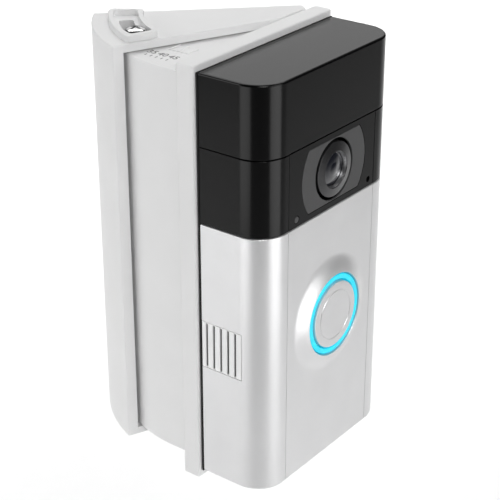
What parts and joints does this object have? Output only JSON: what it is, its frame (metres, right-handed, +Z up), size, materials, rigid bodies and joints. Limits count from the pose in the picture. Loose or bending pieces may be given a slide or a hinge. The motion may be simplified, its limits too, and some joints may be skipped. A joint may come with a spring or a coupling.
{
  "type": "video doorbell",
  "caption": "Slim upright video doorbell with a camera above and a ringed bell button on a raised dome below, carried by a hinged corner bracket that turns its face away from the wall.",
  "frame": {"origin": "point on the wall face of the corner bracket, at the middle of its height", "axes": "+Y goes into the wall, +Z is up, and the doorbell stands off towards -Y, its face turned 45 degrees to the wall"},
  "size_m": [0.0816, 0.0617, 0.1307],
  "materials": {
    "white_plastic": "fine satin moulded plastic",
    "satin_silver": "satin silver coating with a fine grain",
    "gloss_black": "smooth semi-gloss",
    "matt_black": "matt moulded",
    "lens_grey": "smooth dark grey",
    "light_guide": "translucent cyan, lit",
    "bright_steel": "bright plated",
    "lens_glass": "coated lens glass",
    "circuit_board": "solder mask",
    "seal_rubber": "soft moulded",
    "battery_case": "fine texture",
    "contact_gold": "plated"
  },
  "bodies": {
    "wall_mount": {"wall_bracket": "white_plastic", "hinge_pin": "bright_steel"},
    "doorbell": {"swing_bracket": "white_plastic", "top_cap": "gloss_black", "camera_housing": "gloss_black", "camera_window": "gloss_black", "mounting_plate": "matt_black", "rear_housing": "matt_black", "inner_frame": "matt_black", "lens_holder": "matt_black", "lens_barrel": "matt_black", "ring_spacer": "matt_black", "press_switch": "matt_black", "speaker": "matt_black", "lens_trim": "lens_grey", "lens_surround_left": "lens_grey", "lens_surround_right": "lens_grey", "light_sensor": "lens_grey", "light_ring": "light_guide", "clamp_nut": "bright_steel", "plate_screw_1": "bright_steel", "plate_screw_2": "bright_steel", "plate_screw_3": "bright_steel", "plate_screw_4": "bright_steel", "terminal_screw_1": "bright_steel", "terminal_screw_2": "bright_steel", "charging_socket": "bright_steel", "motion_sensor_left": "bright_steel", "motion_sensor_right": "bright_steel", "front_lens": "lens_glass", "rear_lens": "lens_glass", "image_sensor": "lens_glass", "night_lamp_left": "lens_glass", "night_lamp_right": "lens_glass", "main_board": "circuit_board", "motion_board": "circuit_board", "camera_board": "circuit_board", "button_board": "circuit_board", "button_membrane": "seal_rubber", "battery_pack": "battery_case", "battery_contacts": "contact_gold", "antenna": "contact_gold", "microphone": "contact_gold", "flex_cable": "contact_gold"},
    "clamp_screw": {"clamp_screw": "bright_steel"},
    "bell_button": {"button_cap": "satin_silver", "switch_plunger": "contact_gold"},
    "faceplate": {"faceplate": "satin_silver", "vent_grille_left": "satin_silver", "vent_grille_right": "satin_silver"},
    "security_screw": {"security_screw": "bright_steel"},
    "setup_button": {"setup_button": "matt_black"}
  },
  "joints": [
    {"name": "bracket_hinge", "type": "hinge", "parent": "wall_mount", "child": "doorbell", "pos_m": [0.02, -0.0098, 0], "axis": [0, 0, 1], "range_deg": [-15, 0]},
    {"name": "clamp_turn", "type": "hinge", "parent": "doorbell", "child": "clamp_screw", "pos_m": [-0.01942, -0.02178, 0.063], "axis": [0, 0, 1], "range_deg": [0, 540]},
    {"name": "button_press", "type": "slide", "parent": "doorbell", "child": "bell_button", "axis": [-0.7071, 0.7071, 0], "range_m": [0, 0.0008], "stiffness_N_per_m": 800},
    {"name": "faceplate_swing", "type": "hinge", "parent": "doorbell", "child": "faceplate", "pos_m": [0.03245, -0.04346, 0.0167], "axis": [-0.7071, -0.7071, 0], "range_deg": [0, 20]},
    {"name": "security_screw_turn", "type": "hinge", "parent": "faceplate", "child": "security_screw", "pos_m": [0.02361, -0.03462, -0.063], "axis": [0, 0, 1], "range_deg": [0, 540]},
    {"name": "setup_press", "type": "slide", "parent": "doorbell", "child": "setup_button", "axis": [-0.7071, 0.7071, 0], "range_m": [0, 0.0005], "stiffness_N_per_m": 500}
  ]
}
